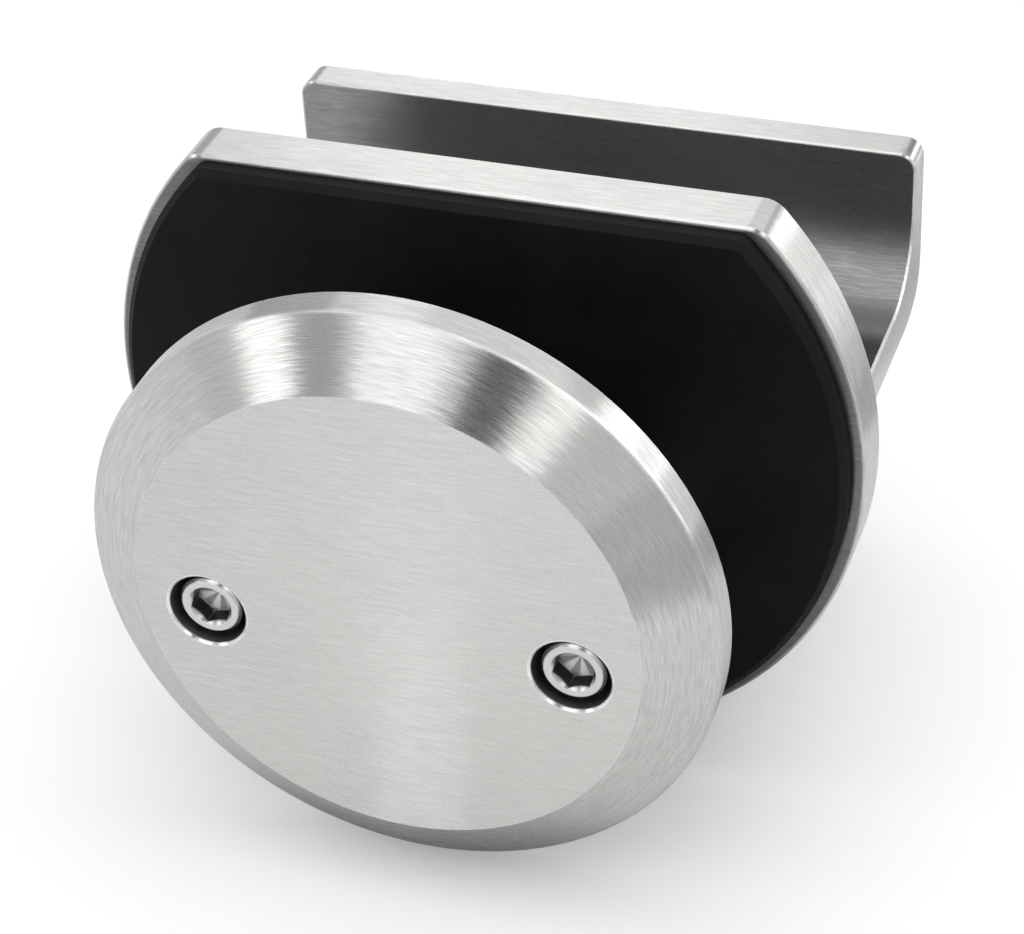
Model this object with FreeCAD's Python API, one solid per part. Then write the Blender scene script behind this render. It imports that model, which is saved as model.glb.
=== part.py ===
import FreeCAD, Part

import math
import os

# Through-glass bracket that carries a support bar.
# A round bevelled cap and a flat-topped flange clamp a glass panel between two gaskets.
# The bar lies in the slot behind the flange, open at the top and at both ends.
# Frame: X along the bar, +Y away from the cap, Z up, millimetres.
# Origin: on the cap's axis, at the face of the flange gasket that meets the glass.

# Glass and gaskets
glass_thickness = 21.5
gasket_thickness = 2.8
gasket_edge_chamfer = 0.9
flange_gasket_side_margin = 1.8
flange_gasket_top_margin = 0.7
cap_gasket_margin = 3.0

# Clamp cap
cap_diameter = 84.0
cap_face_diameter = 67.0
cap_bevel_depth = 5.4
cap_rim_width = 4.9
cap_lip_round = 1.0
cap_back_chamfer = 0.4

# Flange
flange_diameter = 104.0
flange_round_height = 5.4
flange_thickness = 8.0
flange_flat_height = 40.7
flange_corner_radius = 3.8
flange_front_chamfer = 0.4
flange_back_chamfer = 0.4

# Saddle block behind the flange: half round below, upright sides above, and the slot for the bar
saddle_width = 92.4
saddle_round_height = 3.6
jaw_flat_height = 22.8
jaw_thickness = 5.6
jaw_corner_radius = 2.6
jaw_back_chamfer = 0.5
slot_width = 45.1
slot_depth = 20.0
slot_root_radius = 11.0
slot_rim_chamfer = 0.3

# Clamping screws, M5 socket head
screw_spacing = 48.6
screw_drop = 3.2
thread_diameter = 5.0
head_diameter = 8.5
head_height = 5.0
head_edge_chamfer = 0.4
head_recess = 1.0
socket_across_flats = 5.0
socket_depth = 2.6
socket_mouth_diameter = 5.9
socket_turn = 15.0
screw_tip_chamfer = 0.7
screw_tip_setback = 0.6

# Holes for the clamping screws
counterbore_diameter = 10.5
counterbore_edge_break = 0.3
screw_hole_clearance = 0.25
thread_clearance = 0.05

# Sleeves that keep the screws off the glass
sleeve_wall = 3.1

# Screw holes for the bar, from below through the saddle block
bar_screw_spacing = 40.0
bar_screw_hole_diameter = 5.5
bar_screw_counterbore_diameter = 10.0
bar_screw_seat_thickness = 7.0

# Places worked out from the sizes above
flange_front = gasket_thickness
flange_back = flange_front + flange_thickness
jaw_front = flange_back + slot_width
jaw_back = jaw_front + jaw_thickness
slot_floor = jaw_flat_height - slot_depth
cap_gasket_front = -glass_thickness - gasket_thickness
cap_back = cap_gasket_front
cap_lip = cap_back - cap_rim_width
cap_face = cap_lip - cap_bevel_depth
head_top = cap_face + head_recess
head_seat = head_top + head_height
screw_tip = flange_back - screw_tip_setback
screw_height = -screw_drop
screw_places = (-screw_spacing / 2, screw_spacing / 2)
screw_hole_radius = thread_diameter / 2 + screw_hole_clearance
reach = flange_diameter + saddle_width


def vec(x, y, z):
    return FreeCAD.Vector(x, y, z)


def cylinder_y(radius, y_start, y_end, x=0.0, z=0.0):
    return Part.makeCylinder(radius, y_end - y_start, vec(x, y_start, z), vec(0, 1, 0))


def rounded_face(corners):
    """Flat face from (point, radius) corners; each radius is an arc tangent to the corner's two sides."""
    bends = []
    for index, (corner, radius) in enumerate(corners):
        before = (corners[index - 1][0] - corner).normalize()
        after = (corners[(index + 1) % len(corners)][0] - corner).normalize()
        half_angle = before.getAngle(after) / 2
        setback = radius / math.tan(half_angle)
        towards_centre = (before + after).normalize() if radius else vec(0, 0, 0)
        middle = corner + towards_centre * (radius / math.sin(half_angle) - radius)
        bends.append((corner + before * setback, middle, corner + after * setback))
    edges = []
    for index, (start, middle, end) in enumerate(bends):
        edges.append(Part.LineSegment(bends[index - 1][2], start).toShape())
        if corners[index][1]:
            edges.append(Part.Arc(start, middle, end).toShape())
    return Part.Face(Part.Wire(edges))


def turned(profile, x=0.0, z=0.0):
    """Solid turned about a line along Y from (radius, y, corner radius) points that start and end on it."""
    corners = [(vec(x + radius, y, z), corner_radius) for radius, y, corner_radius in profile]
    return rounded_face(corners).revolve(vec(x, 0, z), vec(0, 1, 0), 360)


def flat_topped_round(radius, centre_z, flat_z, corner, y_start, y_end):
    """Disc with one flat on top and rounded corners where the flat meets the round."""
    corner_z = flat_z - corner
    corner_x = math.sqrt((radius - corner) ** 2 - (corner_z - centre_z) ** 2)
    lean = math.atan2(corner_z - centre_z, corner_x)
    middle = (lean + math.pi / 2) / 2
    bottom = vec(0, y_start, centre_z - radius)

    def on_corner(side, angle):
        x = side * (corner_x + corner * math.cos(angle))
        return vec(x, y_start, corner_z + corner * math.sin(angle))

    def corner_arc(side):
        return Part.Arc(on_corner(side, lean), on_corner(side, middle), on_corner(side, math.pi / 2))

    edges = [
        Part.LineSegment(on_corner(-1, math.pi / 2), on_corner(1, math.pi / 2)).toShape(),
        corner_arc(1).toShape(),
        Part.Arc(on_corner(1, lean), bottom, on_corner(-1, lean)).toShape(),
        corner_arc(-1).toShape(),
    ]
    face = Part.Face(Part.Wire(Part.__sortEdges__(edges)))
    return face.extrude(vec(0, y_end - y_start, 0))


def outline_at_y(solid, y):
    """Edges that lie wholly in the plane at y, apart from straight seams below the flat."""
    top = solid.BoundBox.ZMax
    found = []
    for edge in solid.Edges:
        box = edge.BoundBox
        in_plane = abs(box.YMin - y) < 1e-4 and abs(box.YMax - y) < 1e-4
        level_seam = box.ZLength < 1e-4 and box.ZMax < top - 1e-4
        if in_plane and not level_seam:
            found.append(edge)
    return found


def chamfered_at_y(solid, size, y):
    return solid.makeChamfer(size, outline_at_y(solid, y))


def make_flange():
    flange = flat_topped_round(
        flange_diameter / 2,
        flange_round_height,
        flange_flat_height,
        flange_corner_radius,
        flange_front,
        flange_back,
    )
    flange = chamfered_at_y(flange, flange_front_chamfer, flange_front)
    return chamfered_at_y(flange, flange_back_chamfer, flange_back)


def make_slot():
    """Cutter for the bar's slot: a U with round roots, longer than the bracket."""
    high = flange_flat_height + flange_diameter
    outline = [
        (flange_back, high, 0),
        (flange_back, slot_floor, slot_root_radius),
        (jaw_front, slot_floor, slot_root_radius),
        (jaw_front, high, 0),
    ]
    corners = [(vec(-reach / 2, y, z), radius) for y, z, radius in outline]
    return rounded_face(corners).extrude(vec(reach, 0, 0))


def make_saddle_outline():
    """Face at the flange's back: a half round below, upright sides and a flat top with round corners."""
    half = saddle_width / 2
    corner = jaw_corner_radius
    inset = corner * (1 - math.sqrt(0.5))
    side_foot = saddle_round_height
    side_top = jaw_flat_height - corner

    def at(x, z):
        return vec(x, flange_back, z)

    edges = [
        Part.LineSegment(at(corner - half, jaw_flat_height), at(half - corner, jaw_flat_height)),
        Part.Arc(at(-half, side_foot), at(0, side_foot - half), at(half, side_foot)),
    ]
    for side in (-1, 1):
        corner_middle = at(side * (half - inset), jaw_flat_height - inset)
        corner_end = at(side * (half - corner), jaw_flat_height)
        edges.append(Part.LineSegment(at(side * half, side_foot), at(side * half, side_top)))
        edges.append(Part.Arc(at(side * half, side_top), corner_middle, corner_end))
    return Part.Face(Part.Wire(Part.__sortEdges__([edge.toShape() for edge in edges])))


def make_saddle_block():
    """Block behind the flange, with the slot milled through it and the back jaw left standing."""
    block = make_saddle_outline().extrude(vec(0, jaw_back - flange_back, 0))
    block = chamfered_at_y(block, jaw_back_chamfer, jaw_back)
    return chamfered_at_y(block.cut(make_slot()), slot_rim_chamfer, jaw_front)


def bar_screw_hole(x):
    """Counterbored hole from below, on the middle line of the slot."""
    y = (flange_back + jaw_front) / 2
    seat = slot_floor - bar_screw_seat_thickness
    bottom = saddle_round_height - saddle_width
    hole = Part.makeCylinder(bar_screw_hole_diameter / 2, slot_floor - bottom, vec(x, y, bottom))
    counterbore = Part.makeCylinder(bar_screw_counterbore_diameter / 2, seat - bottom, vec(x, y, bottom))
    return hole.fuse(counterbore)


def make_bracket_body():
    body = make_flange().fuse(make_saddle_block()).removeSplitter()
    for x in screw_places:
        body = body.cut(
            cylinder_y(thread_diameter / 2 + thread_clearance, flange_front, flange_back, x, screw_height)
        )
    for x in (-bar_screw_spacing / 2, bar_screw_spacing / 2):
        body = body.cut(bar_screw_hole(x))
    return body


def make_flange_gasket():
    margin = flange_gasket_side_margin
    gasket = flat_topped_round(
        flange_diameter / 2 - margin,
        flange_round_height,
        flange_flat_height - flange_gasket_top_margin,
        flange_corner_radius - margin,
        0.0,
        gasket_thickness,
    )
    gasket = chamfered_at_y(gasket, gasket_edge_chamfer, 0.0)
    for x in screw_places:
        gasket = gasket.cut(cylinder_y(screw_hole_radius, 0.0, gasket_thickness, x, screw_height))
    return gasket


def make_cap_gasket():
    gasket = cylinder_y(cap_diameter / 2 - cap_gasket_margin, cap_gasket_front, -glass_thickness)
    for x in screw_places:
        hole = cylinder_y(screw_hole_radius, cap_gasket_front, -glass_thickness, x, screw_height)
        gasket = gasket.cut(hole)
    return gasket


def cap_screw_hole(x):
    """Counterbored clearance hole through the cap, with a small break at its mouth."""
    radius = counterbore_diameter / 2
    profile = [
        (0, cap_face, 0),
        (radius + counterbore_edge_break, cap_face, 0),
        (radius, cap_face + counterbore_edge_break, 0),
        (radius, head_seat, 0),
        (screw_hole_radius, head_seat, 0),
        (screw_hole_radius, cap_back, 0),
        (0, cap_back, 0),
    ]
    return turned(profile, x, screw_height)


def make_clamp_cap():
    radius = cap_diameter / 2
    profile = [
        (0, cap_face, 0),
        (cap_face_diameter / 2, cap_face, 0),
        (radius, cap_lip, cap_lip_round),
        (radius, cap_back - cap_back_chamfer, 0),
        (radius - cap_back_chamfer, cap_back, 0),
        (0, cap_back, 0),
    ]
    cap = turned(profile)
    for x in screw_places:
        cap = cap.cut(cap_screw_hole(x))
    return cap


def make_socket(x):
    """Cutter for the hexagon socket with its round lead-in."""
    corner_radius = socket_across_flats / 2 / math.cos(math.pi / 6)
    corners = []
    for step in range(6):
        angle = math.radians(socket_turn + 60 * step)
        out = corner_radius * math.cos(angle)
        corners.append(vec(x + out, head_top, screw_height + corner_radius * math.sin(angle)))
    hexagon = Part.Face(Part.makePolygon(corners + corners[:1])).extrude(vec(0, socket_depth, 0))
    mouth_radius = socket_mouth_diameter / 2
    mouth_depth = mouth_radius - socket_across_flats / 2
    lead_in = Part.makeCone(
        mouth_radius, socket_across_flats / 2, mouth_depth, vec(x, head_top, screw_height), vec(0, 1, 0)
    )
    floor = vec(x, head_top + socket_depth, screw_height)
    drill_point = Part.makeCone(socket_across_flats / 2, 0, socket_across_flats / 6, floor, vec(0, 1, 0))
    return hexagon.fuse([lead_in, drill_point])


def make_cap_screw(x):
    head_radius = head_diameter / 2
    shank_radius = thread_diameter / 2
    profile = [
        (0, head_top, 0),
        (head_radius - head_edge_chamfer, head_top, 0),
        (head_radius, head_top + head_edge_chamfer, 0),
        (head_radius, head_seat, 0),
        (shank_radius, head_seat, 0),
        (shank_radius, screw_tip - screw_tip_chamfer, 0),
        (shank_radius - screw_tip_chamfer, screw_tip, 0),
        (0, screw_tip, 0),
    ]
    return turned(profile, x, screw_height).cut(make_socket(x))


def make_sleeve(x):
    outside = cylinder_y(screw_hole_radius + sleeve_wall, -glass_thickness, 0.0, x, screw_height)
    return outside.cut(cylinder_y(screw_hole_radius, -glass_thickness, 0.0, x, screw_height))


def build_parts():
    left, right = screw_places
    return {
        "bracket_body": make_bracket_body(),
        "flange_gasket": make_flange_gasket(),
        "clamp_cap": make_clamp_cap(),
        "cap_gasket": make_cap_gasket(),
        "cap_screw_left": make_cap_screw(left),
        "cap_screw_right": make_cap_screw(right),
        "glass_sleeve_left": make_sleeve(left),
        "glass_sleeve_right": make_sleeve(right),
    }


os.makedirs("parts", exist_ok=True)
for name, shape in build_parts().items():
    solid = shape.Solids[0] if len(shape.Solids) == 1 else shape
    box = solid.BoundBox
    print(
        f"{name}: {len(shape.Solids)} solid, {solid.Volume / 1000:.2f} cm3, valid {solid.isValid()}, "
        f"X {box.XMin:.2f} {box.XMax:.2f} Y {box.YMin:.2f} {box.YMax:.2f} Z {box.ZMin:.2f} {box.ZMax:.2f}"
    )
    solid.exportStep(f"parts/{name}.step")
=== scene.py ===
import math

import bpy
from mathutils import Matrix, Vector


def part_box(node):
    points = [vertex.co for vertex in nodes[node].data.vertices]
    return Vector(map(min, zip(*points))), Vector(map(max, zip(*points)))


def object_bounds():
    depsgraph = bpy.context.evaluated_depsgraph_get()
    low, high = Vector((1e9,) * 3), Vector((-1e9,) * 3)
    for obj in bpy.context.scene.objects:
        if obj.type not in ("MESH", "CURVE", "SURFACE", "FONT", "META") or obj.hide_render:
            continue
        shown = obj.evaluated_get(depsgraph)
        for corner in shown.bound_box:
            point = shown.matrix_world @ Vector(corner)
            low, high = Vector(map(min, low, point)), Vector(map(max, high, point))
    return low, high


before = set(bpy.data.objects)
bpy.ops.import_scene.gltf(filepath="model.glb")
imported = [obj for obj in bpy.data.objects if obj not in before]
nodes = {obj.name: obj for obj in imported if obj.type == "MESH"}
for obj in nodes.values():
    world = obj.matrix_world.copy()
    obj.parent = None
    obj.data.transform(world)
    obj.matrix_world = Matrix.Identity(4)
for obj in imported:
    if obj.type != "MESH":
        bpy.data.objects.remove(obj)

# Looks of a stainless through-glass bracket: brushed body, turned cap, rubber gaskets, nylon
# sleeves and socket screws. The solids keep their shape and place, and only get their finishes.
# The frame is the model's own: X along the bar, +Y away from the cap, Z up, in metres.

cad_low, cad_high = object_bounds()
cap_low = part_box("clamp_cap")[0]

# Brushed grain, measured on the surface
GRAIN_WIDTH = 0.00016
GRAIN_LENGTH = 0.0030
GRAIN_WAVER = 0.00035
WAVER_SCALE = 160.0
CLOUD_SCALE = 45.0
GRAIN_RADIUS = 0.045         # where lines that run round have their right length
FLANGE_AXIS_HEIGHT = 0.0054

# Sets of lines: a number that sets each apart, and its width and length as shares of the grain's
FINE_LINES = (3.0, 1.0, 1.0)
BROAD_LINES = (9.0, 3.0, 2.2)
LEAN_LINES = (21.0, 0.9, 1.0)
SCRATCH_LINES = (17.0, 1.3, 1.6)
FINE_SHARE = 0.68

# How strongly the grain, the wear with its painted edge highlight, and the painted shade on milled and
# bored surfaces show in the steel
GROOVE_LEAN = 0.012
GROOVE_DEPTH = 0.000005
DARK_LINES_ROUND = 0.26
DARK_LINES_STRAIGHT = -0.14  # added where the lines run straight
# More dark grain lines where shade is painted
DARK_LINES_IN_PAINTED_SHADE = 0.50        # added on milled and bored faces
WARM_SHARE = 0.6
SCRATCH_SHINE = 0.10
# Share of bright colour on edges: partly wear, partly a painted highlight
EDGE_WEAR_AND_HIGHLIGHT = 0.8
STEEL_ROUGHNESS = 0.25
ROUGHER_LINES = 0.08
ROUGHER_CLOUD = 0.03
ROUGHER_CUT = 0.08
ROUGHER_EDGE = 0.20

# Sheen that the grooves draw out across themselves
SHEEN_STRETCH = 0.95
SHEEN_TURN = 0.25
FLAT_GROOVES = (0.02, 0.0, 0.0)

# The bar's slot, as milled between flange and jaw, with painted shade in it, least on the jaw
SLOT_FRONT = 0.0107
SLOT_BACK = 0.0560
SLOT_FLOOR = 0.0027
SLOT_HALF_LENGTH = 0.0459
JAW_START = 0.038
JAW_END = 0.042
JAW_SHADE = 0.55

# The flange's front margin round the rubber pad, with painted shade on it
MARGIN_START = 0.00005
MARGIN_END = 0.00012
MARGIN_SHADE = 0.75

# Bores that open through the cap's face and the screws' heads, with painted shade inside them and a
# painted highlight round their mouths
COUNTERBORE_RADIUS = 0.00530
HEAD_EDGE_RADIUS = 0.00400
SOCKET_RADIUS = 0.00296
HIGHLIGHT_RING_WIDTH = 0.00032
PETAL_COUNT = 6.0
PETAL_DARK = 0.75
PETAL_PALE = 0.15

# Finishes, and the colours of painted shade
STEEL_WARM = (0.665, 0.652, 0.638, 1.0)
STEEL_COOL = (0.630, 0.625, 0.618, 1.0)
STEEL_DARK = (0.120, 0.116, 0.110, 1.0)
STEEL_BRIGHT = (0.930, 0.924, 0.915, 1.0)
# Painted shade in the body's slot and on the pad's margin
SLOT_AND_MARGIN_PAINTED_SHADE = (0.055, 0.053, 0.049, 1.0)
# Painted shade inside the cap's counterbores and the screws' sockets
BORE_PAINTED_SHADE = (0.110, 0.106, 0.100, 1.0)
RUBBER_FRESH = (0.0050, 0.0050, 0.0056, 1.0)
RUBBER_DUSTY = (0.0150, 0.0150, 0.0158, 1.0)
NYLON_CLEAN = (0.80, 0.79, 0.76, 1.0)
NYLON_AGED = (0.71, 0.68, 0.61, 1.0)
WHITE = (1.0, 1.0, 1.0, 1.0)
BLACK = (0.0, 0.0, 0.0, 1.0)

# Floor: its colours, the share of grey drift in its white, and how much brighter the viewer sees it
FLOOR_WHITE = (0.97, 0.97, 0.97, 1.0)
FLOOR_GREY = (0.62, 0.62, 0.62, 1.0)
FLOOR_MIRRORED = (0.92, 0.92, 0.92, 1.0)
FLOOR_SHADED = (0.30, 0.30, 0.30, 1.0)
FLOOR_DRIFT = 0.05
FLOOR_LIFT = 0.10
FLOOR_HALF_WIDTH = 4.0
# Painted shadow on the floor, only in bare metal: full up to the first distance from the object's middle,
# gone at the second
SHADED_FULLY_TO = 0.044
SHADED_UP_TO = 0.056

# Soft lamps: name, azimuth, elevation, degrees wide, degrees tall, brightness
LAMP_DISTANCE = 1.3
SOFTBOXES = (
    ("softbox_front", -25, 40, 30, 30, 0.5),
    ("softbox_overhead", 60, 72, 40, 40, 0.4),
)

# Cards that only show in bare metal: name, azimuth, elevation, degrees wide, degrees tall, shade
CARD_DISTANCE = 1.1
FLAT_CARDS = (
    ("white_card_back", -160, 31, 13, 22, 1.6),
    ("white_card_overhead", 70, 64, 50, 36, 1.6),
)

# Turned faces that mirror cards as bands: tilts of the normal, radius, depth along Y, axis height
BEVEL_FACE = (range(10, 59, 8), 0.038, -0.032, 0.0)
CAP_RIM_FACE = (range(66, 107, 8), 0.042, -0.027, 0.0)
LIP_FACE = (range(60, 76, 5), 0.0415, -0.0285, 0.0)
FLANGE_RIM_FACE = (range(88, 111, 4), 0.052, 0.007, FLANGE_AXIS_HEIGHT)

# Bands on them: name, first and last angle round the axis, shade, and how far the card stands
BEVEL_BANDS = (
    ("pale_band_far_left", 127, 160, 0.86, CARD_DISTANCE),
    ("grey_band_left", 116, 127, 0.70, CARD_DISTANCE),
    ("white_band_left", 105.5, 115, 1.95, CARD_DISTANCE),
    ("dark_band_left", 94.5, 105, 0.44, CARD_DISTANCE),
    ("white_band_front", 76, 92, 1.62, CARD_DISTANCE),
    ("dark_band_front", 61, 71.5, 0.04, CARD_DISTANCE),
    ("white_band_right", 52, 58, 1.65, CARD_DISTANCE),
    ("grey_band_right", 37, 51.5, 0.68, CARD_DISTANCE),
    ("grey_band_low", 25, 36.5, 0.56, 0.26),
    ("grey_band_lowest", 12, 25, 0.56, 0.14),
)
CAP_RIM_BANDS = (
    ("grey_band_rim_left", 98, 114, 0.55, CARD_DISTANCE),
    ("white_band_rim", 35, 50, 2.3, CARD_DISTANCE),
    ("grey_band_rim", 15, 24, 0.60, 0.15),
)
FLANGE_RIM_BANDS = (
    ("dark_band_flange", 33, 38.5, 0.20, 0.28),
    ("white_band_flange", 24, 31, 1.60, 0.28),
    ("grey_band_flange", -6, 21, 0.60, 0.11),
    ("dark_band_corner", 44, 54, 0.25, 0.12),
)

# The bright line along the cap's lip: where each of its cards starts and its shade
LIP_CARDS = ((22, 2.3), (37, 2.3), (52, 2.2), (67, 1.7), (82, 1.6), (97, 1.5))
LIP_STEP = 15

# Soft glow on the floor, which the flat face mirrors: from X to X, and as far up and down the face
GLOW_START = -0.003
GLOW_END = 0.009
GLOW_REACH = 0.033
GLOW_STEPS = 3
GLOW_SHADE = 1.10
GLOW_CLEARANCE = 0.0005

# Camera
PHOTO_WIDTH = 1024
FOCAL_PIXELS = 2956.55
SENSOR_WIDTH_MM = 36.0
CAMERA_PLACE = (0.11868, -0.29732, 0.22803)
CAMERA_RIGHT = (0.94465, 0.32462, -0.04765)
CAMERA_UP = (-0.15234, 0.56260, 0.81257)
CAMERA_BACK = (0.29058, -0.76034, 0.58091)


# Node helpers
def add_node(tree, kind, inputs=None, **settings):
    """Node of that kind; each input is a plain value or another node's output."""
    made = tree.nodes.new(kind)
    for name, value in settings.items():
        setattr(made, name, value)
    for name, value in (inputs or {}).items():
        feed(tree, made.inputs[name], value)
    return made


def feed(tree, socket, value):
    """Links the socket to another node's output, or sets it to a plain value."""
    if isinstance(value, bpy.types.NodeSocket):
        tree.links.new(value, socket)
    else:
        socket.default_value = value


def calc(tree, operation, *values):
    inputs = dict(enumerate(values))
    return add_node(tree, "ShaderNodeMath", inputs, operation=operation).outputs[0]


def calc_vector(tree, operation, *values):
    made = add_node(tree, "ShaderNodeVectorMath", operation=operation)
    for socket, value in zip(made.inputs, values):
        feed(tree, socket, value)
    return made.outputs["Value" if operation in ("DOT_PRODUCT", "LENGTH") else "Vector"]


def spread(tree, value, low, high, to_low=0.0, to_high=1.0, smooth=True):
    """Value between low and high, spread from to_low to to_high."""
    inputs = {"Value": value, "From Min": low, "From Max": high, "To Min": to_low, "To Max": to_high}
    kind = "SMOOTHSTEP" if smooth else "LINEAR"
    return add_node(tree, "ShaderNodeMapRange", inputs, interpolation_type=kind).outputs["Result"]


def between(tree, value, low, high, soft=0.0001):
    """1 where the value lies between low and high, with a soft border."""
    above = spread(tree, value, low, low + soft)
    below = spread(tree, value, high - soft, high, 1.0, 0.0)
    return calc(tree, "MULTIPLY", above, below)


def mix_by_name(tree, data_type, suffix, share, first, second):
    """Mix node whose sockets of that data type are found by their identifiers."""
    made = add_node(tree, "ShaderNodeMix", data_type=data_type)
    sockets = {socket.identifier: socket for socket in made.inputs}
    for name, value in {"Factor_Float": share, f"A_{suffix}": first, f"B_{suffix}": second}.items():
        feed(tree, sockets[name], value)
    return [socket for socket in made.outputs if socket.identifier == f"Result_{suffix}"][0]


def mix_colour(tree, share, first, second):
    return mix_by_name(tree, "RGBA", "Color", share, first, second)


def mix_vector(tree, share, first, second):
    return mix_by_name(tree, "VECTOR", "Vector", share, first, second)


def mix_value(tree, share, first, second):
    return mix_by_name(tree, "FLOAT", "Float", share, first, second)


def combine(tree, **parts):
    return add_node(tree, "ShaderNodeCombineXYZ", parts).outputs["Vector"]


def noise(tree, vector, scale, detail=2.0, roughness=0.5):
    inputs = {"Vector": vector, "Scale": scale, "Detail": detail, "Roughness": roughness}
    return add_node(tree, "ShaderNodeTexNoise", inputs).outputs["Fac"]


def new_group(name, inputs, outputs):
    """Shader node group with float inputs, given as name and default, and float outputs."""
    group = bpy.data.node_groups.new(name, "ShaderNodeTree")
    for label, default in inputs.items():
        socket = group.interface.new_socket(name=label, in_out="INPUT", socket_type="NodeSocketFloat")
        socket.default_value = default
    for label in outputs:
        group.interface.new_socket(name=label, in_out="OUTPUT", socket_type="NodeSocketFloat")
    return group, group.nodes.new("NodeGroupInput"), group.nodes.new("NodeGroupOutput")


def place_group(tree, group, values):
    return add_node(tree, "ShaderNodeGroup", values, node_tree=group)


# Shared effects
def make_brushed_grain():
    """Fine lines left by an abrasive belt, each a little out of line with the next.

    They run along X on faces square to Y, and round the Y axis elsewhere. With Level Too at 1,
    they also run along X on every face that is level along X.
    """
    inputs = {
        "Axis Height": 0.0,
        "Radius Share": 0.0,
        "Level Too": 0.0,
        "Grain Width": GRAIN_WIDTH,
        "Grain Length": GRAIN_LENGTH,
        "Waver": GRAIN_WAVER,
    }
    outputs = ["Grain", "Lean", "Scratch", "Cloud", "Straight"]
    group, given, result = new_group("brushed_grain", inputs, outputs)
    texture = add_node(group, "ShaderNodeTexCoord")
    place = texture.outputs["Object"]
    position = add_node(group, "ShaderNodeSeparateXYZ", {"Vector": place})
    normal = add_node(group, "ShaderNodeSeparateXYZ", {"Vector": texture.outputs["Normal"]})
    x, y, z = (position.outputs[axis] for axis in "XYZ")

    # Where the lines run straight along X
    straight = spread(group, calc(group, "ABSOLUTE", normal.outputs["Y"]), 0.95, 0.995)
    level = spread(group, calc(group, "ABSOLUTE", normal.outputs["X"]), 0.02, 0.06, 1.0, 0.0)
    level = calc(group, "MULTIPLY", level, given.outputs["Level Too"])
    straight = calc(group, "MAXIMUM", straight, level)

    from_axis = combine(group, X=x, Z=calc(group, "SUBTRACT", z, given.outputs["Axis Height"]))
    radius = calc_vector(group, "LENGTH", from_axis)
    around = calc_vector(group, "NORMALIZE", from_axis)
    drift = calc(group, "SUBTRACT", noise(group, place, WAVER_SCALE, 0.0), 0.5)
    drift = calc(group, "MULTIPLY", drift, given.outputs["Waver"])
    depth = calc(group, "ADD", y, drift)
    height = calc(group, "ADD", z, drift)
    across = calc(group, "MULTIPLY_ADD", radius, given.outputs["Radius Share"], depth)

    def lines(seed, width_share, length_share):
        """Noise drawn out into lines."""
        width = calc(group, "MULTIPLY", given.outputs["Grain Width"], width_share)
        length = calc(group, "MULTIPLY", given.outputs["Grain Length"], length_share)
        turns = calc(group, "DIVIDE", GRAIN_RADIUS, length)
        turned = calc_vector(group, "MULTIPLY", around, combine(group, X=turns, Y=0.0, Z=turns))
        rings = combine(group, Y=calc(group, "DIVIDE", across, width))
        turned = calc_vector(group, "ADD", turned, rings)
        flat = combine(
            group,
            X=calc(group, "DIVIDE", x, length),
            Y=calc(group, "DIVIDE", depth, width),
            Z=calc(group, "DIVIDE", height, width),
        )
        drawn = mix_vector(group, straight, turned, flat)
        return noise(group, calc_vector(group, "ADD", drawn, (seed, seed, seed)), 1.0, 0.0)

    broad = calc(group, "MULTIPLY", lines(*BROAD_LINES), 1.0 - FINE_SHARE)
    grain = calc(group, "MULTIPLY_ADD", lines(*FINE_LINES), FINE_SHARE, broad)
    cloud = noise(group, place, CLOUD_SCALE, 3.0, 0.55)
    found = {
        "Grain": spread(group, grain, 0.28, 0.72, smooth=False),
        "Lean": spread(group, lines(*LEAN_LINES), 0.25, 0.75, -1.0, 1.0, smooth=False),
        "Scratch": spread(group, lines(*SCRATCH_LINES), 0.70, 0.80),
        "Cloud": spread(group, cloud, 0.3, 0.7),
        "Straight": straight,
    }
    for label, value in found.items():
        group.links.new(value, result.inputs[label])
    return group


def make_bore_shade():
    """Masks of a pair of bores along Y, one each side of the middle: inside, for painted shade, and a
    ring round the mouth, for a painted highlight.
    """
    inputs = {
        "Axis Offset": 0.0,
        "Axis Height": 0.0,
        "Radius": COUNTERBORE_RADIUS,
        "Mouth": 0.0,
        "Painted Highlight Width": HIGHLIGHT_RING_WIDTH,
    }
    group, given, result = new_group("bore_shade", inputs, ["Inside", "Painted Highlight"])
    place = add_node(group, "ShaderNodeTexCoord").outputs["Object"]
    position = add_node(group, "ShaderNodeSeparateXYZ", {"Vector": place})
    sideways = calc(group, "ABSOLUTE", position.outputs["X"])
    sideways = calc(group, "SUBTRACT", sideways, given.outputs["Axis Offset"])
    upwards = calc(group, "SUBTRACT", position.outputs["Z"], given.outputs["Axis Height"])
    away = calc_vector(group, "LENGTH", combine(group, X=sideways, Z=upwards))
    near = calc(group, "LESS_THAN", away, given.outputs["Radius"])
    depth = calc(group, "SUBTRACT", position.outputs["Y"], given.outputs["Mouth"])
    inside = calc(group, "MULTIPLY", near, spread(group, depth, 0.00015, 0.0006))
    group.links.new(inside, result.inputs["Inside"])
    # Ring round the mouth of each bore, for a painted highlight
    reach = calc(group, "ADD", given.outputs["Radius"], given.outputs["Painted Highlight Width"])
    ring = calc(group, "SUBTRACT", calc(group, "LESS_THAN", away, reach), near)
    painted_highlight = calc(group, "MULTIPLY", ring, spread(group, depth, 0.0004, 0.0006, 1.0, 0.0))
    group.links.new(painted_highlight, result.inputs["Painted Highlight"])
    return group


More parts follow.
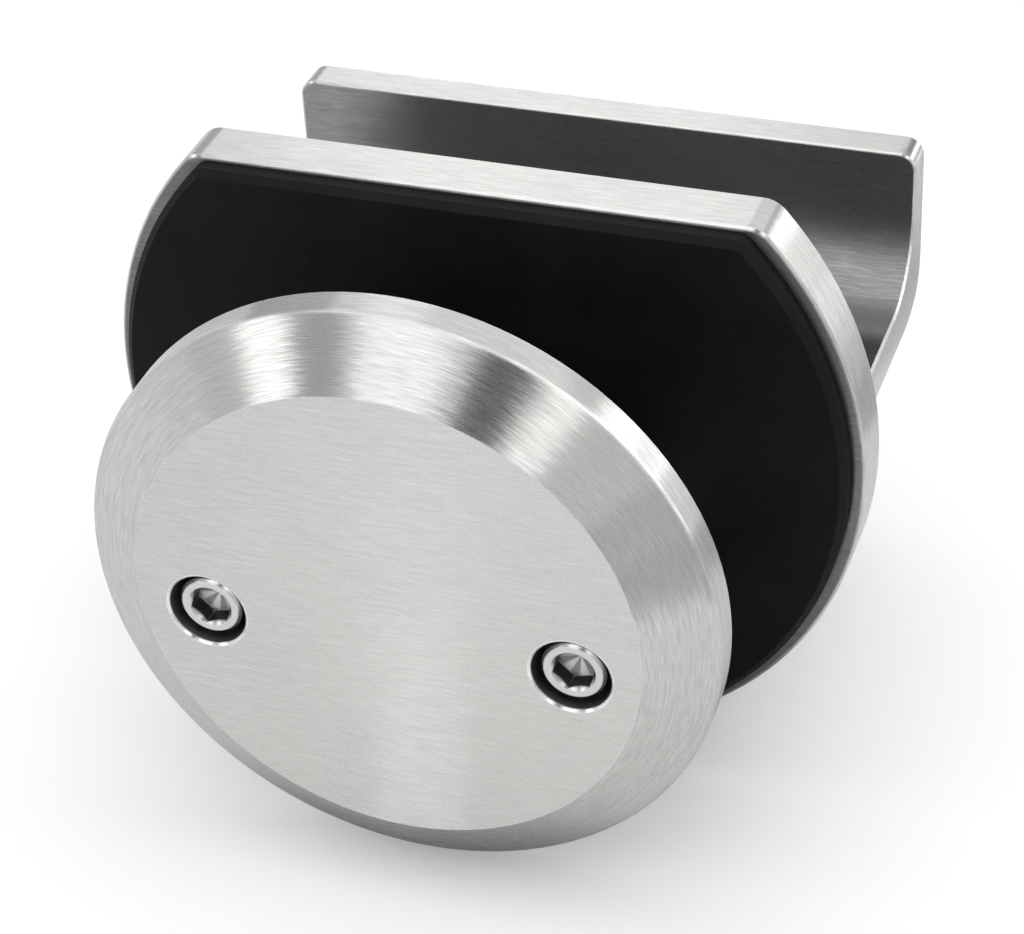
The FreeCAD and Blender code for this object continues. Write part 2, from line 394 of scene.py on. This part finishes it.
def make_wear_and_highlight_edges():
    """Edges broken by a small radius: their normal, and a patchy mask of where they show bright, partly
    as wear and partly as a painted highlight.
    """
    inputs = {"Reach": 0.0002, "Breakup Scale": 900.0}
    group, given, result = new_group("wear_and_highlight_edges", inputs, ["Edge"])
    group.interface.new_socket(name="Normal", in_out="OUTPUT", socket_type="NodeSocketVector")
    rounded = add_node(group, "ShaderNodeBevel", {"Radius": given.outputs["Reach"]}, samples=2)
    plain = add_node(group, "ShaderNodeNewGeometry")
    alike = calc_vector(group, "DOT_PRODUCT", rounded.outputs["Normal"], plain.outputs["Normal"])
    edge = spread(group, alike, 0.995, 0.90)
    place = add_node(group, "ShaderNodeTexCoord").outputs["Object"]
    broken = noise(group, place, given.outputs["Breakup Scale"], 2.0)
    edge = calc(group, "MULTIPLY", edge, spread(group, broken, 0.20, 0.45))
    group.links.new(edge, result.inputs["Edge"])
    group.links.new(rounded.outputs["Normal"], result.inputs["Normal"])
    return group


def make_fine_speckle():
    """Even fine unevenness of moulded or turned surfaces, with a slower drift over it and dust."""
    inputs = {"Speckle Scale": 3000.0, "Drift Scale": 60.0}
    group, given, result = new_group("fine_speckle", inputs, ["Speckle", "Drift", "Dust"])
    place = add_node(group, "ShaderNodeTexCoord").outputs["Object"]
    speckle = noise(group, place, given.outputs["Speckle Scale"], 2.0, 0.6)
    drift = noise(group, place, given.outputs["Drift Scale"], 3.0, 0.6)
    dust_scale = calc(group, "MULTIPLY", given.outputs["Speckle Scale"], 0.45)
    dust = noise(group, place, dust_scale, 1.0)
    group.links.new(speckle, result.inputs["Speckle"])
    group.links.new(spread(group, drift, 0.3, 0.7), result.inputs["Drift"])
    group.links.new(spread(group, dust, 0.68, 0.80), result.inputs["Dust"])
    return group


# Materials
def new_material(name):
    material = bpy.data.materials.new(name)
    material.use_nodes = True
    tree = material.node_tree
    tree.nodes.clear()
    shader = add_node(tree, "ShaderNodeBsdfPrincipled")
    output = add_node(tree, "ShaderNodeOutputMaterial")
    tree.links.new(shader.outputs["BSDF"], output.inputs["Surface"])
    return material, tree, shader


def bump(tree, shader, height, distance, normal=None):
    made = add_node(tree, "ShaderNodeBump", {"Height": height, "Distance": distance})
    if normal:
        tree.links.new(normal, made.inputs["Normal"])
    tree.links.new(made.outputs["Normal"], shader.inputs["Normal"])


def run_grooves_round(tree, shader):
    """Turns the sheen with the brushing: round the Y axis, and along X on faces square to Y."""
    surface = add_node(tree, "ShaderNodeNewGeometry")
    around = calc_vector(tree, "CROSS_PRODUCT", (0.0, 1.0, 0.0), surface.outputs["Normal"])
    along = calc_vector(tree, "NORMALIZE", calc_vector(tree, "ADD", around, FLAT_GROOVES))
    tree.links.new(along, shader.inputs["Tangent"])
    shader.inputs["Anisotropic"].default_value = SHEEN_STRETCH
    shader.inputs["Anisotropic Rotation"].default_value = SHEEN_TURN
    return along


def body_masks(tree):
    """Painted shade, darker than the brushed outside: in the milled slot, its jaw least, and on the pad's
    margin; no painted highlight.
    """
    place = add_node(tree, "ShaderNodeTexCoord").outputs["Object"]
    position = add_node(tree, "ShaderNodeSeparateXYZ", {"Vector": place})
    x, y, z = (position.outputs[axis] for axis in "XYZ")
    # Painted shade in the slot, less towards the jaw
    inside = between(tree, y, SLOT_FRONT, SLOT_BACK)
    inside = calc(tree, "MULTIPLY", inside, between(tree, x, -SLOT_HALF_LENGTH, SLOT_HALF_LENGTH))
    inside = calc(tree, "MULTIPLY", inside, calc(tree, "GREATER_THAN", z, SLOT_FLOOR))
    inside = calc(tree, "MULTIPLY", inside, spread(tree, y, JAW_START, JAW_END, 1.0, JAW_SHADE))
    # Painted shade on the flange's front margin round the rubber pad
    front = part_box("bracket_body")[0].y
    margin = spread(tree, y, front + MARGIN_START, front + MARGIN_END, MARGIN_SHADE, 0.0)
    return calc(tree, "MAXIMUM", inside, margin), 0.0


def place_bores(tree, bores, radius, mouth):
    """Masks of the bores that the two screws stand in."""
    low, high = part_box("cap_screw_right")
    middle = (low + high) / 2
    values = {"Axis Offset": middle.x, "Axis Height": middle.z, "Radius": radius, "Mouth": mouth}
    return place_group(tree, bores, values).outputs


def make_steel(name, grain, edges, values, masks_of, painted_shade_colour):
    """Brushed stainless steel; painted shade, with more roughness, on milled and bored surfaces, and a
    painted highlight round the mouths of bores.
    """
    material, tree, shader = new_material(name)
    brushed = place_group(tree, grain, values)
    wear_and_highlight = place_group(tree, edges, {"Reach": 0.0003, "Breakup Scale": 700.0})
    edge = wear_and_highlight.outputs["Edge"]
    lines, lean, scratch, cloud, straight = (
        brushed.outputs[label] for label in ("Grain", "Lean", "Scratch", "Cloud", "Straight")
    )
    painted_shade, painted_highlight = masks_of(tree)

    colour = mix_colour(tree, calc(tree, "MULTIPLY", cloud, WARM_SHARE), STEEL_WARM, STEEL_COOL)
    # Painted shade on the slot, the pad's margin and inside the counterbores
    colour = mix_colour(tree, painted_shade, colour, painted_shade_colour)
    dark = calc(tree, "MULTIPLY_ADD", straight, DARK_LINES_STRAIGHT, DARK_LINES_ROUND)
    dark = calc(tree, "MULTIPLY_ADD", painted_shade, DARK_LINES_IN_PAINTED_SHADE, dark)
    colour = mix_colour(tree, calc(tree, "MULTIPLY", lines, dark), colour, STEEL_DARK)
    bright = calc(tree, "MULTIPLY", scratch, SCRATCH_SHINE)
    # Bright edges, partly wear and partly a painted highlight
    bright = calc(tree, "MAXIMUM", bright, calc(tree, "MULTIPLY", edge, EDGE_WEAR_AND_HIGHLIGHT))
    # Painted highlight round the mouths of the counterbores
    bright = calc(tree, "MAXIMUM", bright, painted_highlight)
    tree.links.new(mix_colour(tree, bright, colour, STEEL_BRIGHT), shader.inputs["Base Color"])

    rough = STEEL_ROUGHNESS - ROUGHER_LINES / 2
    shares = ((lines, ROUGHER_LINES), (cloud, ROUGHER_CLOUD), (painted_shade, ROUGHER_CUT), (edge, ROUGHER_EDGE))
    for effect, share in shares:
        rough = calc(tree, "MULTIPLY_ADD", effect, share, rough)
    tree.links.new(rough, shader.inputs["Roughness"])
    shader.inputs["Metallic"].default_value = 1.0

    along = run_grooves_round(tree, shader)
    turned = add_node(tree, "ShaderNodeVectorMath", operation="SCALE")
    tree.links.new(along, turned.inputs[0])
    tree.links.new(calc(tree, "MULTIPLY", lean, GROOVE_LEAN), turned.inputs["Scale"])
    leaning = calc_vector(tree, "ADD", wear_and_highlight.outputs["Normal"], turned.outputs["Vector"])
    bump(tree, shader, lines, GROOVE_DEPTH, calc_vector(tree, "NORMALIZE", leaning))
    return material


def make_screw_steel(speckle, edges, bores):
    """Satin steel of the screws; painted shade on the sockets' walls and in a petal pattern on their
    floor, and a painted highlight round the heads' top edge.
    """
    material, tree, shader = new_material("satin_screw_steel")
    uneven = place_group(tree, speckle, {"Speckle Scale": 2600.0, "Drift Scale": 300.0})
    wear_and_highlight = place_group(tree, edges, {"Reach": 0.00025, "Breakup Scale": 1500.0})
    edge = wear_and_highlight.outputs["Edge"]
    low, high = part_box("cap_screw_right")
    middle = (low + high) / 2
    texture = add_node(tree, "ShaderNodeTexCoord")
    position = add_node(tree, "ShaderNodeSeparateXYZ", {"Vector": texture.outputs["Object"]})
    sideways = calc(tree, "SUBTRACT", calc(tree, "ABSOLUTE", position.outputs["X"]), middle.x)
    upwards = calc(tree, "SUBTRACT", position.outputs["Z"], middle.z)
    # Painted shade in a petal pattern round the sockets' floor
    turn = calc(tree, "ARCTAN2", upwards, sideways)
    petal_shade = calc(tree, "SINE", calc(tree, "MULTIPLY", turn, PETAL_COUNT))
    petal_shade = spread(tree, petal_shade, -0.6, 0.6, PETAL_PALE, PETAL_DARK)
    facing = add_node(tree, "ShaderNodeSeparateXYZ", {"Vector": texture.outputs["Normal"]})
    floor = spread(tree, calc(tree, "ABSOLUTE", facing.outputs["Y"]), 0.80, 0.95)
    inside = place_bores(tree, bores, SOCKET_RADIUS, low.y)["Inside"]
    # Painted highlight round the top edge of the heads
    painted_highlight = place_bores(tree, bores, HEAD_EDGE_RADIUS, low.y)["Painted Highlight"]
    # Painted shade: full on the sockets' walls, by the petal pattern on their floor
    painted_shade = calc(tree, "MULTIPLY", inside, mix_value(tree, floor, 1.0, petal_shade))

    share = calc(tree, "MULTIPLY", uneven.outputs["Drift"], 0.5)
    colour = mix_colour(tree, share, STEEL_WARM, STEEL_COOL)
    colour = mix_colour(tree, painted_shade, colour, BORE_PAINTED_SHADE)
    # Bright edges, partly wear and partly a painted highlight
    bright = calc(tree, "MAXIMUM", calc(tree, "MULTIPLY", edge, EDGE_WEAR_AND_HIGHLIGHT), painted_highlight)
    tree.links.new(mix_colour(tree, bright, colour, STEEL_BRIGHT), shader.inputs["Base Color"])
    rough = calc(tree, "MULTIPLY_ADD", uneven.outputs["Speckle"], 0.12, 0.18)
    rough = calc(tree, "MULTIPLY_ADD", inside, 0.12, rough)
    tree.links.new(rough, shader.inputs["Roughness"])
    shader.inputs["Metallic"].default_value = 1.0
    bump(tree, shader, uneven.outputs["Speckle"], 0.000004, wear_and_highlight.outputs["Normal"])
    return material


def make_rubber(speckle):
    material, tree, shader = new_material("black_rubber")
    uneven = place_group(tree, speckle, {"Speckle Scale": 2400.0, "Drift Scale": 55.0})
    drifted = calc(tree, "MULTIPLY", uneven.outputs["Drift"], 0.35)
    share = calc(tree, "MAXIMUM", drifted, calc(tree, "MULTIPLY", uneven.outputs["Dust"], 0.8))
    tree.links.new(mix_colour(tree, share, RUBBER_FRESH, RUBBER_DUSTY), shader.inputs["Base Color"])
    rough = calc(tree, "MULTIPLY_ADD", uneven.outputs["Speckle"], 0.16, 0.46)
    rough = calc(tree, "MULTIPLY_ADD", uneven.outputs["Drift"], 0.05, rough)
    tree.links.new(rough, shader.inputs["Roughness"])
    shader.inputs["Specular IOR Level"].default_value = 0.10
    bump(tree, shader, uneven.outputs["Speckle"], 0.00002)
    return material


def make_nylon(speckle):
    material, tree, shader = new_material("white_nylon")
    uneven = place_group(tree, speckle, {"Speckle Scale": 1800.0, "Drift Scale": 120.0})
    drifted = calc(tree, "MULTIPLY", uneven.outputs["Drift"], 0.5)
    share = calc(tree, "MAXIMUM", drifted, calc(tree, "MULTIPLY", uneven.outputs["Dust"], 0.6))
    tree.links.new(mix_colour(tree, share, NYLON_CLEAN, NYLON_AGED), shader.inputs["Base Color"])
    rough = calc(tree, "MULTIPLY_ADD", uneven.outputs["Speckle"], 0.15, 0.38)
    tree.links.new(rough, shader.inputs["Roughness"])
    bump(tree, shader, uneven.outputs["Speckle"], 0.000015)
    return material


def dress(names, material):
    for name in names:
        for slot in nodes[name].material_slots:
            slot.material = material


# Stage
def add_object(name, corners, faces):
    mesh = bpy.data.meshes.new(name)
    mesh.from_pydata(corners, [], faces)
    placed = bpy.data.objects.new(name, mesh)
    bpy.context.scene.collection.objects.link(placed)
    return placed


def make_floor(height, middle):
    """White floor; bare metal mirrors it a little greyer, with a painted shadow right below the object.
    """
    half = FLOOR_HALF_WIDTH
    corners = [(-half, -half, height), (half, -half, height), (half, half, height), (-half, half, height)]
    floor = add_object("floor", corners, [(0, 1, 2, 3)])
    material, tree, shader = new_material("pale_floor")
    place = add_node(tree, "ShaderNodeTexCoord").outputs["Object"]
    path = add_node(tree, "ShaderNodeLightPath")
    mirrored_here = path.outputs["Is Glossy Ray"]
    shade = calc(tree, "MULTIPLY", noise(tree, place, 9.0, 2.0), FLOOR_DRIFT)
    shade = calc(tree, "MAXIMUM", shade, path.outputs["Is Diffuse Ray"])
    colour = mix_colour(tree, shade, FLOOR_WHITE, FLOOR_GREY)
    colour = mix_colour(tree, mirrored_here, colour, FLOOR_MIRRORED)
    away = calc_vector(tree, "LENGTH", calc_vector(tree, "SUBTRACT", place, (0.0, middle, height)))
    # Painted shadow right below the object, seen only in bare metal
    below = spread(tree, away, SHADED_FULLY_TO, SHADED_UP_TO, 1.0, 0.0)
    below = calc(tree, "MULTIPLY", below, mirrored_here)
    tree.links.new(mix_colour(tree, below, colour, FLOOR_SHADED), shader.inputs["Base Color"])
    seen = calc(tree, "MAXIMUM", path.outputs["Is Camera Ray"], path.outputs["Is Transmission Ray"])
    tree.links.new(calc(tree, "MULTIPLY", seen, FLOOR_LIFT), shader.inputs["Emission Strength"])
    shader.inputs["Emission Color"].default_value = WHITE
    shader.inputs["Roughness"].default_value = 0.9
    shader.inputs["Specular IOR Level"].default_value = 0.0
    floor.data.materials.append(material)


def direction(azimuth, elevation):
    """Unit vector; azimuth 0 is in front of the cap and grows to the right, in degrees."""
    turn = math.radians(azimuth)
    rise = math.radians(elevation)
    return Vector((math.sin(turn) * math.cos(rise), -math.cos(turn) * math.cos(rise), math.sin(rise)))


def facing_centre(azimuth, elevation, distance):
    """Place at that distance whose local -Z looks at the middle of the object."""
    towards = direction(azimuth, elevation)
    centre = (cad_low + cad_high) / 2
    turn = towards.to_track_quat("Z", "Y").to_matrix().to_4x4()
    return Matrix.Translation(centre + towards * distance) @ turn


def softbox(name, azimuth, elevation, wide, tall, brightness):
    """Soft lamp that covers wide by tall degrees as seen from the object."""
    lamp = bpy.data.lights.new(name, "AREA")
    lamp.shape = "RECTANGLE"
    lamp.size = 2 * LAMP_DISTANCE * math.tan(math.radians(wide / 2))
    lamp.size_y = 2 * LAMP_DISTANCE * math.tan(math.radians(tall / 2))
    lamp.energy = brightness * math.pi * lamp.size * lamp.size_y
    placed = bpy.data.objects.new(name, lamp)
    placed.matrix_world = facing_centre(azimuth, elevation, LAMP_DISTANCE)
    placed.visible_camera = False
    placed.visible_glossy = False
    bpy.context.scene.collection.objects.link(placed)


def card(name, corners, shade):
    """Card beside the object that only shows in bare metal; its shade is 0 for black, 1 for white."""
    rows = len(corners) // 2
    faces = [(2 * row, 2 * row + 1, 2 * row + 3, 2 * row + 2) for row in range(rows - 1)]
    placed = add_object(name, corners, faces)
    material, tree, shader = new_material(name)
    shader.inputs["Base Color"].default_value = BLACK
    shader.inputs["Specular IOR Level"].default_value = 0.0
    shader.inputs["Emission Color"].default_value = WHITE
    shader.inputs["Emission Strength"].default_value = shade
    placed.data.materials.append(material)
    placed.visible_camera = False
    placed.visible_diffuse = False
    placed.visible_shadow = False


def flat_card(name, azimuth, elevation, wide, tall, shade):
    """Card that covers wide by tall degrees as seen from the object."""
    half_wide = CARD_DISTANCE * math.tan(math.radians(wide / 2))
    half_tall = CARD_DISTANCE * math.tan(math.radians(tall / 2))
    turn = facing_centre(azimuth, elevation, CARD_DISTANCE)
    corners = [turn @ Vector((x, y, 0)) for y in (-half_tall, half_tall) for x in (-half_wide, half_wide)]
    card(name, corners, shade)


def mirrored(spot, normal):
    """Direction that the viewer sees mirrored at that spot of a face."""
    to_viewer = (Vector(CAMERA_PLACE) - spot).normalized()
    return 2 * normal.dot(to_viewer) * normal - to_viewer


def band_card(band, face):
    """Card shaped so that it shows as one clean band across a turned face.

    The band runs between two angles round the axis, 0 to the right and 90 at the top, and the
    card's length takes in the face's normal tilted outwards from the axis by each of the tilts.
    """
    name, start, end, shade, distance = band
    tilts, radius, depth, axis_height = face
    corners = []
    for tilt in map(math.radians, tilts):
        for turn in map(math.radians, (start, end)):
            outwards = Vector((math.cos(turn), 0.0, math.sin(turn)))
            spot = outwards * radius + Vector((0.0, depth, axis_height))
            normal = outwards * math.sin(tilt) - Vector((0.0, math.cos(tilt), 0.0))
            corners.append(spot + mirrored(spot, normal) * distance)
    card(name, corners, shade)


def floor_glow():
    """Brighter strip of floor, which the cap's flat face mirrors as a soft upright band."""
    corners = []
    for step in range(-GLOW_STEPS, GLOW_STEPS + 1):
        for x in (GLOW_START, GLOW_END):
            spot = Vector((x, cap_low.y, GLOW_REACH * step / GLOW_STEPS))
            towards = mirrored(spot, Vector((0.0, -1.0, 0.0)))
            drop = cad_low.z + GLOW_CLEARANCE - spot.z
            corners.append(spot + towards * (drop / towards.z))
    card("floor_glow", corners, GLOW_SHADE)


def make_world():
    world = bpy.data.worlds.new("studio")
    world.use_nodes = True
    tree = world.node_tree
    tree.nodes.clear()
    background = add_node(tree, "ShaderNodeBackground", {"Color": WHITE, "Strength": 1.0})
    output = add_node(tree, "ShaderNodeOutputWorld")
    tree.links.new(background.outputs["Background"], output.inputs["Surface"])
    bpy.context.scene.world = world


def make_camera():
    data = bpy.data.cameras.new("camera")
    data.sensor_fit = "HORIZONTAL"
    data.sensor_width = SENSOR_WIDTH_MM
    data.lens = FOCAL_PIXELS * SENSOR_WIDTH_MM / PHOTO_WIDTH
    data.clip_start = 0.01
    camera = bpy.data.objects.new("camera", data)
    rows = zip(CAMERA_RIGHT, CAMERA_UP, CAMERA_BACK, CAMERA_PLACE)
    camera.matrix_world = Matrix((*rows, (0.0, 0.0, 0.0, 1.0)))
    bpy.context.scene.collection.objects.link(camera)
    bpy.context.scene.camera = camera


def set_the_stage():
    make_floor(cad_low.z, (cad_low.y + cad_high.y) / 2)
    make_world()
    for box in SOFTBOXES:
        softbox(*box)
    floor_glow()
    for band in BEVEL_BANDS:
        band_card(band, BEVEL_FACE)
    for band in CAP_RIM_BANDS:
        band_card(band, CAP_RIM_FACE)
    for start, shade in LIP_CARDS:
        band_card((f"lip_card_{start}", start, start + LIP_STEP, shade, CARD_DISTANCE), LIP_FACE)
    for band in FLANGE_RIM_BANDS:
        band_card(band, FLANGE_RIM_FACE)
    for flat in FLAT_CARDS:
        flat_card(*flat)
    make_camera()
    bpy.context.scene.view_settings.view_transform = "Standard"


def finish_surfaces():
    grain = make_brushed_grain()
    edges = make_wear_and_highlight_edges()
    speckle = make_fine_speckle()
    bores = make_bore_shade()

    def cap_masks(tree):
        masks = place_bores(tree, bores, COUNTERBORE_RADIUS, cap_low.y)
        return masks["Inside"], masks["Painted Highlight"]

    body_grain = {"Axis Height": FLANGE_AXIS_HEIGHT, "Level Too": 1.0}
    cap_grain = {"Radius Share": 1.0}
    body = make_steel("brushed_steel", grain, edges, body_grain, body_masks, SLOT_AND_MARGIN_PAINTED_SHADE)
    cap = make_steel("turned_steel", grain, edges, cap_grain, cap_masks, BORE_PAINTED_SHADE)
    dress(["bracket_body"], body)
    dress(["clamp_cap"], cap)
    dress(["cap_screw_left", "cap_screw_right"], make_screw_steel(speckle, edges, bores))
    dress(["flange_gasket", "cap_gasket"], make_rubber(speckle))
    dress(["glass_sleeve_left", "glass_sleeve_right"], make_nylon(speckle))


finish_surfaces()
set_the_stage()
